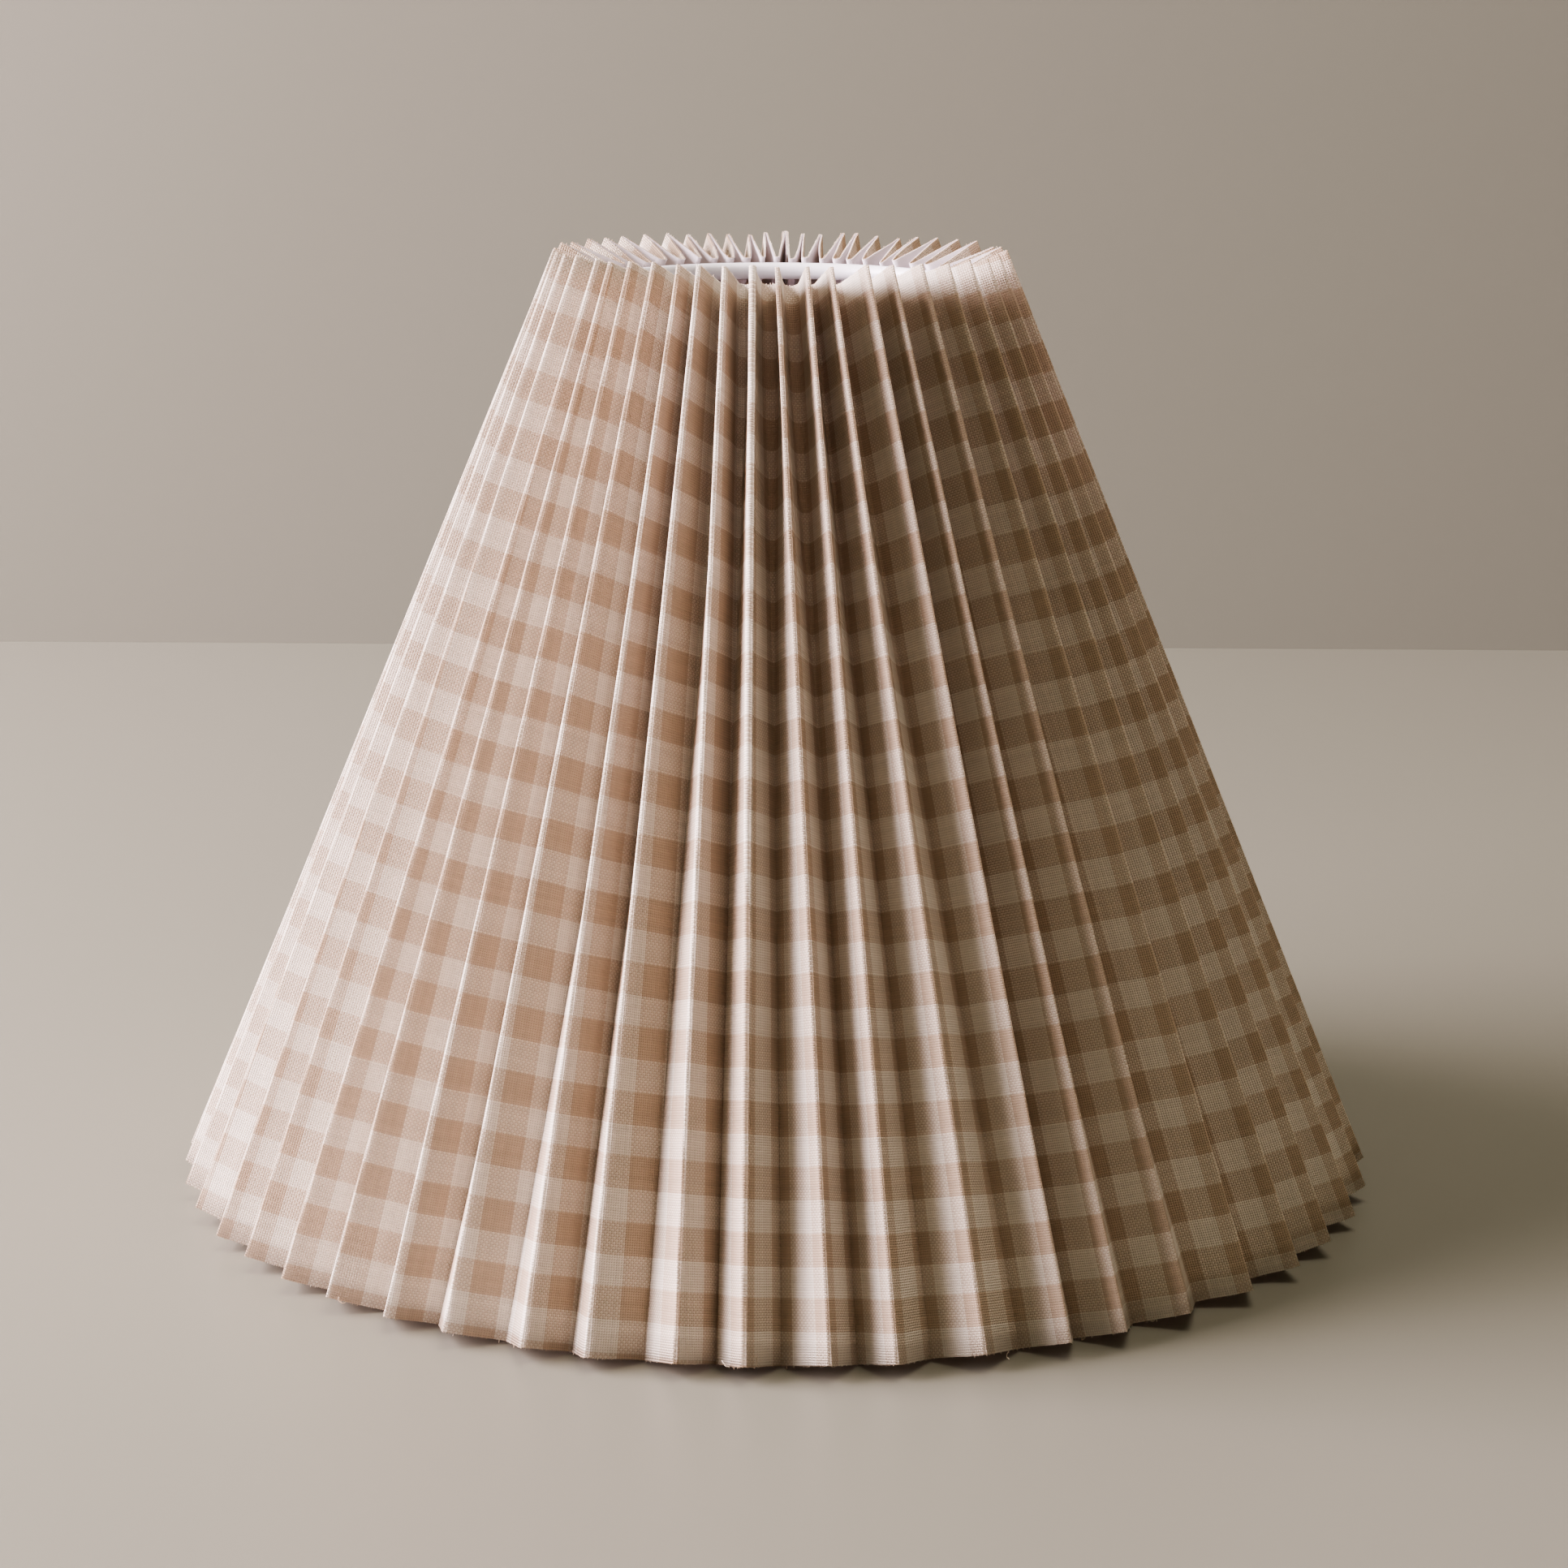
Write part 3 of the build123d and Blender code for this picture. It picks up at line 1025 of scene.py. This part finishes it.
@dataclass
class ThreadEnds:
    """The cut yarns along a strip's top edge and hem, and the few that have worked loose."""

    strip: PleatedStrip
    yarn_radius: float = 0.13 * MM
    rooted: float = 0.3 * MM
    stub_length: float = 0.12 * MM
    least_stub: float = 0.02 * MM
    stub_lean: float = 0.25
    taper: float = 0.7
    loose_folds: tuple[float, ...] = ()
    loose_length: float = 3.2 * MM
    loose_steps: int = 9
    curl: float = 0.55
    curl_up: float = 0.25
    off_floor: float = 0.1 * MM

    def edge(self, row: int) -> tuple[np.ndarray, np.ndarray, np.ndarray]:
        """Finds where the yarns are cut.

        Args:
            row: 0 for the top edge and -1 for the hem.

        Returns:
            How far along the strip each yarn is, its cut end and the way that it points.
        """
        section = self.strip.section
        inner_row = 1 if row == 0 else -2
        middle = self.strip.lift() + self.strip.plan.fabric / 2
        raised = section.points + middle[..., None] * section.normals
        way = raised[row] - raised[inner_row]
        way /= np.linalg.norm(way, axis=-1, keepdims=True)
        place = section.along[row]
        yarns = np.arange(place[0], place[-1], GinghamCotton.yarn_spacing_mm * MM)
        ends = np.stack([np.interp(yarns, place, raised[row, :, axis]) for axis in range(3)], axis=-1)
        ways = np.stack([np.interp(yarns, place, way[:, axis]) for axis in range(3)], axis=-1)
        return yarns, ends, ways

    def rods(self, starts: np.ndarray, ends: np.ndarray) -> tuple[np.ndarray, np.ndarray]:
        """Makes thin four-sided yarns that taper towards their ends.

        Args:
            starts: where each begins.
            ends: where each ends.

        Returns:
            The points, eight a yarn, and the faces, five a yarn.
        """
        axis = ends - starts
        axis /= np.linalg.norm(axis, axis=-1, keepdims=True)
        side = np.cross(axis, (0.31, 0.42, 0.85))
        side /= np.linalg.norm(side, axis=-1, keepdims=True)
        out = np.cross(axis, side)
        ring = np.stack([side, out, -side, -out], axis=1) * self.yarn_radius
        points = np.concatenate([starts[:, None] + ring, ends[:, None] + self.taper * ring], axis=1)
        pattern = np.array([[0, 1, 5, 4], [1, 2, 6, 5], [2, 3, 7, 6], [3, 0, 4, 7], [4, 5, 6, 7]])
        faces = 8 * np.arange(len(starts))[:, None, None] + pattern
        return points.reshape(-1, 3), faces.reshape(-1, 4)

    def build(self, cotton: bpy.types.Material) -> bpy.types.Object:
        """Makes the thread ends of one strip.

        Args:
            cotton: the cover's finish.

        Returns:
            One piece that holds all of them.
        """
        strip = self.strip
        chance = np.random.default_rng(strip.plan.seed + 29 + strip.first_fold)
        starts, ends, places = [], [], []
        for row in (0, -1):
            yarns, feet, ways = self.edge(row)
            reach = chance.gamma(2.0, self.stub_length / 2, len(yarns))[:, None] + self.least_stub
            lean = chance.normal(0, self.stub_lean, feet.shape)
            starts.append(feet - self.rooted * ways)
            ends.append(feet + reach * (ways + lean))
            down = np.full(len(yarns), 0.0 if row == 0 else strip.plan.strip_width)
            places.append(strip.cloth_place(yarns, down))
        # The loose ones hang on the hem, whose yarns are the ones found last.
        for fold in self.loose_folds:
            number = int(np.argmin(abs(yarns - fold * strip.plan.panel_width)))
            point, way = feet[number], ways[number]
            for _ in range(self.loose_steps):
                way = way + chance.normal(0, self.curl, 3) + (0.0, 0.0, self.curl_up)
                way /= np.linalg.norm(way)
                onward = point + way * self.loose_length / self.loose_steps
                onward[2] = max(onward[2], strip.plan.low[2] + self.off_floor)
                starts.append(point[None])
                ends.append(onward[None])
                places.append(places[1][number][None])
                point = onward
        points, faces = self.rods(np.concatenate(starts), np.concatenate(ends))
        points[:, 2] = np.maximum(points[:, 2], strip.plan.low[2])
        piece = mesh_object(f"thread_ends_{strip.name}", points, faces)
        mark_cloth(piece, np.repeat(np.concatenate(places), 8, axis=0))
        piece.data.materials.append(cotton)
        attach(piece, "root")
        return piece


# ---------------------------------------------------------------- wirework and studio


@dataclass
class Wirework:
    """The steel inside the shade: two rings, three arms and the fitter, all CAD nodes."""

    nodes: dict
    names: tuple[str, ...] = (
        "top_ring",
        "bottom_ring",
        "fitter_ring",
        "spider_arm_1",
        "spider_arm_2",
        "spider_arm_3",
    )

    def dress(self, coat: bpy.types.Material) -> list[bpy.types.Object]:
        """Gives every piece of steel its coat.

        Args:
            coat: the powder coat.

        Returns:
            The CAD pieces.
        """
        pieces = [self.nodes[name] for name in self.names]
        for piece in pieces:
            for holder in piece.material_slots:
                holder.link = "OBJECT"
                holder.material = coat
        return pieces


@dataclass
class Studio:
    """A wide pale floor with a wall behind it, large soft lights and the camera."""

    lens_mm: float = 80.33
    sensor_mm: float = 36.0
    clip_start: float = 0.01
    eye: tuple[float, float, float] = (1.6 * MM, -858.8 * MM, 296.3 * MM)
    pitch_down: float = 12.94
    roll: float = 0.325
    floor_size: float = 14.0
    wall_behind: float = 0.712
    aim: tuple[float, float, float] = (0.0, 0.0, 0.1)
    key_place: tuple[float, float, float] = (-1.75, 0.0, 1.08)
    key_size: tuple[float, float] = (1.3, 1.2)
    key_power: float = 114.0
    side_place: tuple[float, float, float] = (-1.75, -0.82, 0.62)
    side_size: tuple[float, float] = (0.9, 0.9)
    side_power: float = 42.0
    window_tint: str = "#FFF0F9"
    roof_place: tuple[float, float, float] = (0.4, 0.1, 2.3)
    roof_size: tuple[float, float] = (1.4, 1.4)
    roof_power: float = 24.0
    roof_tint: str = "#FFF4E8"
    fill_tint: str = "#FAF2CC"
    fill_strength: float = 0.20

    def boards(self, paint: bpy.types.Material) -> list[bpy.types.Object]:
        """Lays the floor under the shade and stands a wall behind it.

        Args:
            paint: the finish of both.

        Returns:
            The floor and the wall, marked as part of the stage.
        """
        half, back = self.floor_size / 2, self.wall_behind
        ground = np.array([(-half, -half, 0), (half, -half, 0), (half, back, 0), (-half, back, 0)])
        upright = np.array([(-half, back, 0), (half, back, 0), (half, back, half), (-half, back, half)])
        boards = []
        for name, corners in (("studio_floor", ground), ("studio_wall", upright)):
            board = mesh_object(name, corners, np.array([[0, 1, 2, 3]]))
            board.data.materials.append(paint)
            board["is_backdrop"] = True
            boards.append(board)
        return boards

    def softbox(
        self, name: str, place: Sequence[float], size: Sequence[float], power: float, tint: str
    ) -> bpy.types.Object:
        """Hangs a soft rectangular light that faces the shade.

        Args:
            name: its name.
            place: where it hangs.
            size: its width and height.
            power: in watts.
            tint: its sRGB colour.

        Returns:
            The light.
        """
        data = bpy.data.lights.new(name, "AREA")
        data.shape = "RECTANGLE"
        data.size, data.size_y = size
        data.energy = power
        data.color = linear(tint)[:3]
        light = bpy.data.objects.new(name, data)
        light.location = place
        # The softboxes light the shade from outside any picture of it.
        light.visible_camera = False
        light.rotation_euler = (Vector(self.aim) - Vector(place)).to_track_quat("-Z", "Y").to_euler()
        bpy.context.scene.collection.objects.link(light)
        return light

    def lights(self) -> None:
        """Makes a wide window at the left out of two softboxes, and fills the room evenly."""
        self.softbox("window", self.key_place, self.key_size, self.key_power, self.window_tint)
        self.softbox("window_front", self.side_place, self.side_size, self.side_power, self.window_tint)
        self.softbox("ceiling", self.roof_place, self.roof_size, self.roof_power, self.roof_tint)
        world = bpy.data.worlds.new("room_fill")
        bpy.context.scene.world = world
        world.use_nodes = True
        world.node_tree.nodes.clear()
        fill = add_node(
            world.node_tree,
            "ShaderNodeBackground",
            {"Color": linear(self.fill_tint), "Strength": self.fill_strength},
        )
        add_node(world.node_tree, "ShaderNodeOutputWorld", {"Surface": fill.outputs[0]})

    def camera(self) -> bpy.types.Object:
        """Sets up the camera, level but for a slight roll."""
        data = bpy.data.cameras.new("camera")
        data.lens = self.lens_mm
        data.sensor_width = self.sensor_mm
        data.clip_start = self.clip_start
        camera = bpy.data.objects.new("camera", data)
        tilt = Matrix.Rotation(math.radians(90 - self.pitch_down), 4, "X")
        turn = Matrix.Rotation(math.radians(self.roll), 4, "Z")
        camera.matrix_world = Matrix.Translation(self.eye) @ tilt @ turn
        bpy.context.scene.collection.objects.link(camera)
        bpy.context.scene.camera = camera
        return camera


# ---------------------------------------------------------------- making the shade


def main() -> None:
    """Builds the shade around the CAD frame, and the studio around the shade."""
    logging.basicConfig(level=logging.INFO, format="%(name)s: %(message)s")
    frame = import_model()
    low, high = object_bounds()

    studio = Studio()
    studio.camera()
    studio.lights()
    studio.boards(PaintedBoard().material())
    bpy.context.scene.view_settings.view_transform = "AgX"
    bpy.context.scene.view_settings.look = "AgX - High Contrast"

    cotton = GinghamCotton().material()
    film = StyreneFilm().material()
    plan = FoldPlan(low=list(low), high=list(high))
    half_round = plan.pleats
    full_round = 2 * half_round
    strips = [
        PleatedStrip("a", plan, 0, half_round, beige_at=0.0, square_at=0.0, stripe_pitch=14.0 * MM),
        PleatedStrip(
            "b",
            plan,
            half_round,
            full_round,
            beige_at=full_round + 0.75,
            square_at=full_round,
            stripe_pitch=14.8 * MM,
            column_skew=0.027,
        ),
    ]
    loose = {"a": (0.3, 6.7, 9.2, 11.4, 18.6, 27.0, 39.5), "b": (99.6, 88.3, 71.0, 57.2)}
    for strip in strips:
        ends = ThreadEnds(strip, loose_folds=loose[strip.name])
        for piece in [*strip.build(cotton, film), ends.build(cotton)]:
            LOG.info("%s: %d points", piece.name, len(piece.data.vertices))

    for piece in Wirework(frame["nodes"]).dress(PowderCoat().material()):
        LOG.info("%s: coated", piece.name)

    bpy.context.view_layer.update()


if __name__ == "__main__":
    main()
